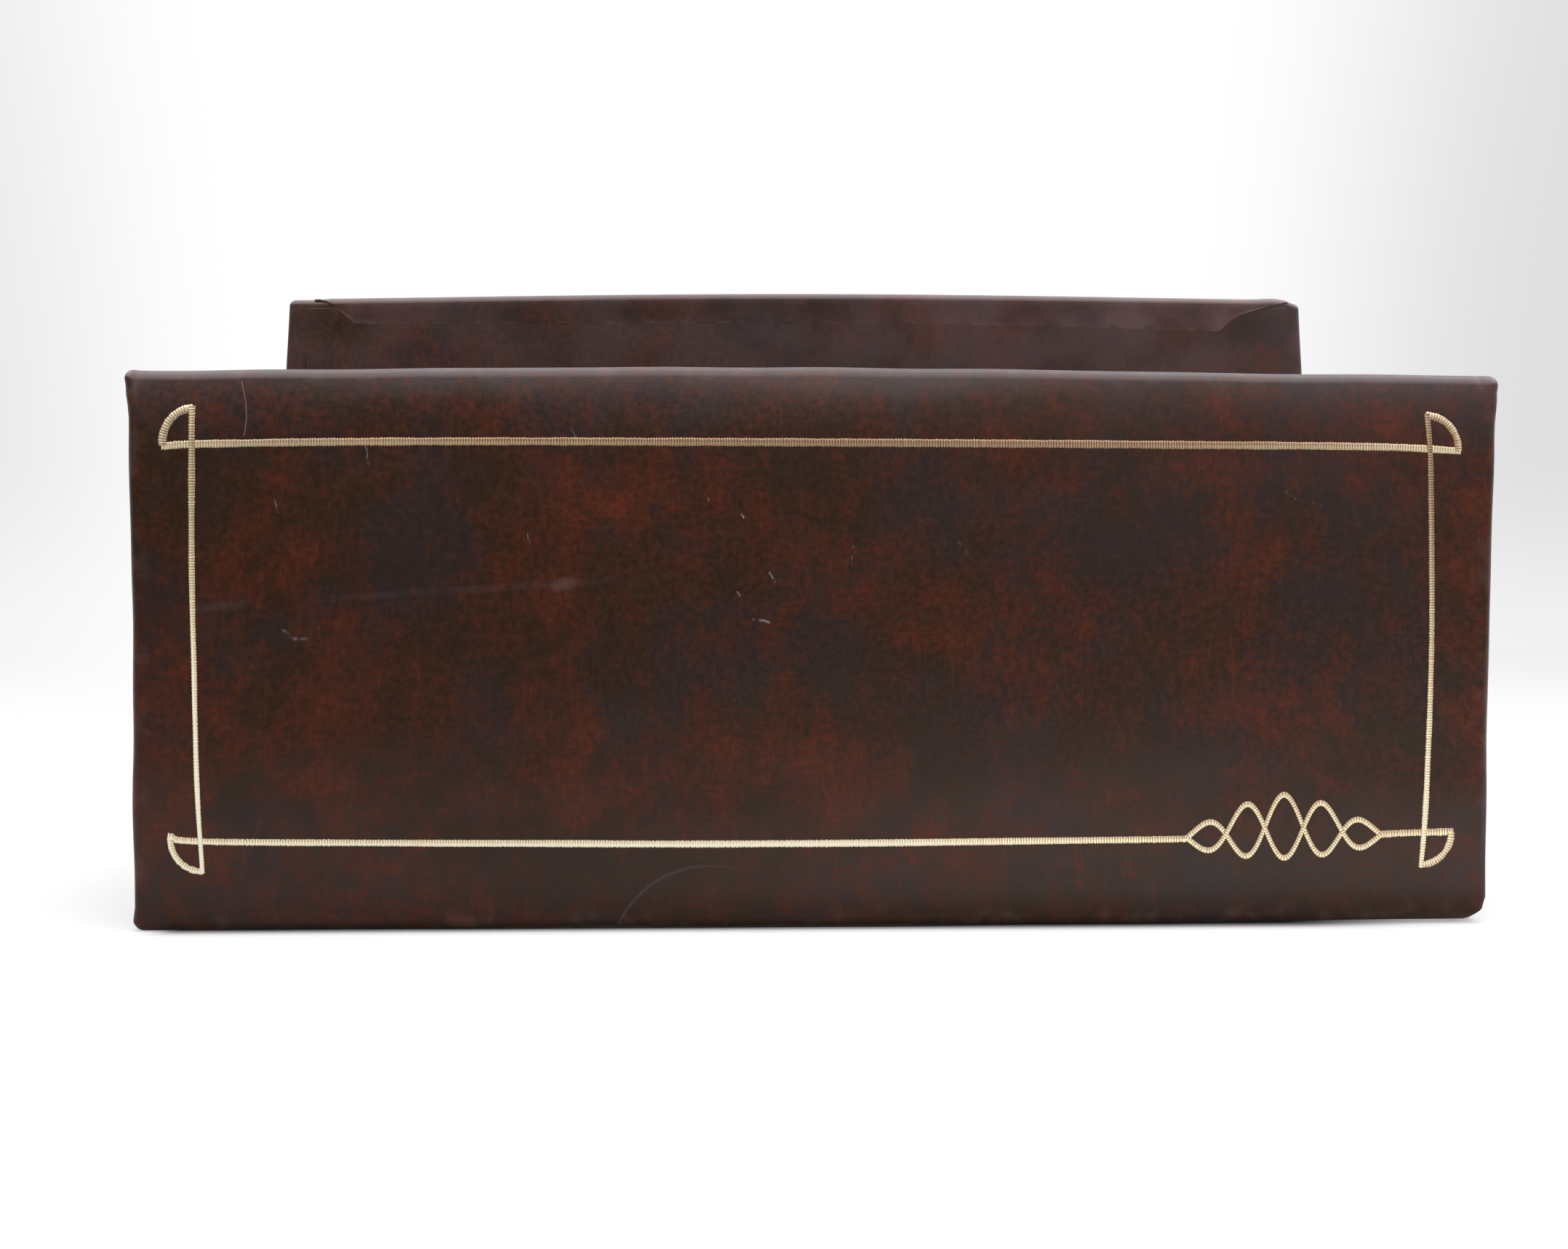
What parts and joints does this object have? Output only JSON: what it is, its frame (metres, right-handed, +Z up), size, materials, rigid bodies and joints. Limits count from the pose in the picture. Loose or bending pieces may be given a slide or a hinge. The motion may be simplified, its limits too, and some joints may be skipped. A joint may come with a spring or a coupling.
{
  "type": "envelope sorter with drawer",
  "caption": "Wide desk sorter covered in brown leatherette, with a low gold-bordered front, a taller back, stepped dividers for envelopes and a shallow drawer that pulls out of its end.",
  "frame": {"origin": "middle of the underside of the case", "axes": "+X to the right seen from the front and the way the drawer pulls out, +Y from the decorated front to the back, +Z up"},
  "size_m": [0.2749, 0.0921, 0.141],
  "materials": {
    "leatherette": "semi-gloss mottled dark brown",
    "lining_cloth": "matt fine book cloth",
    "drawer_paper": "matt tan lining paper",
    "chipboard": "matt grey-brown",
    "foam": "soft thin padding",
    "felt": "matt dark felt",
    "gold_foil": "satin gold line",
    "brass": "polished",
    "steel": "bright zinc"
  },
  "bodies": {
    "case": {"base_felt": "felt", "base_board": "chipboard", "base_edge_cover": "leatherette", "front_board": "chipboard", "front_padding": "foam", "front_cover": "leatherette", "front_lining": "lining_cloth", "gold_border": "gold_foil", "back_board": "chipboard", "back_cover": "leatherette", "back_lining": "leatherette", "left_side_board": "chipboard", "left_side_cover": "leatherette", "left_side_lining": "lining_cloth", "right_side_board": "chipboard", "right_side_cover": "leatherette", "right_side_lining": "lining_cloth", "slot_floor_board": "chipboard", "slot_floor_lining": "lining_cloth", "front_divider_board": "chipboard", "front_divider_cover": "leatherette", "rear_divider_board": "chipboard", "rear_divider_cover": "leatherette", "drawer_stop_strip": "chipboard"},
    "drawer": {"drawer_bottom": "chipboard", "drawer_end_wall": "chipboard", "drawer_near_wall": "chipboard", "drawer_far_wall": "chipboard", "drawer_front_board": "chipboard", "drawer_front_cover": "leatherette", "drawer_lining": "drawer_paper", "drawer_knob": "brass", "drawer_knob_screw": "steel"}
  },
  "joints": [
    {"name": "drawer_slide", "type": "slide", "parent": "case", "child": "drawer", "axis": [1, 0, 0], "range_m": [0, 0.1835]}
  ]
}
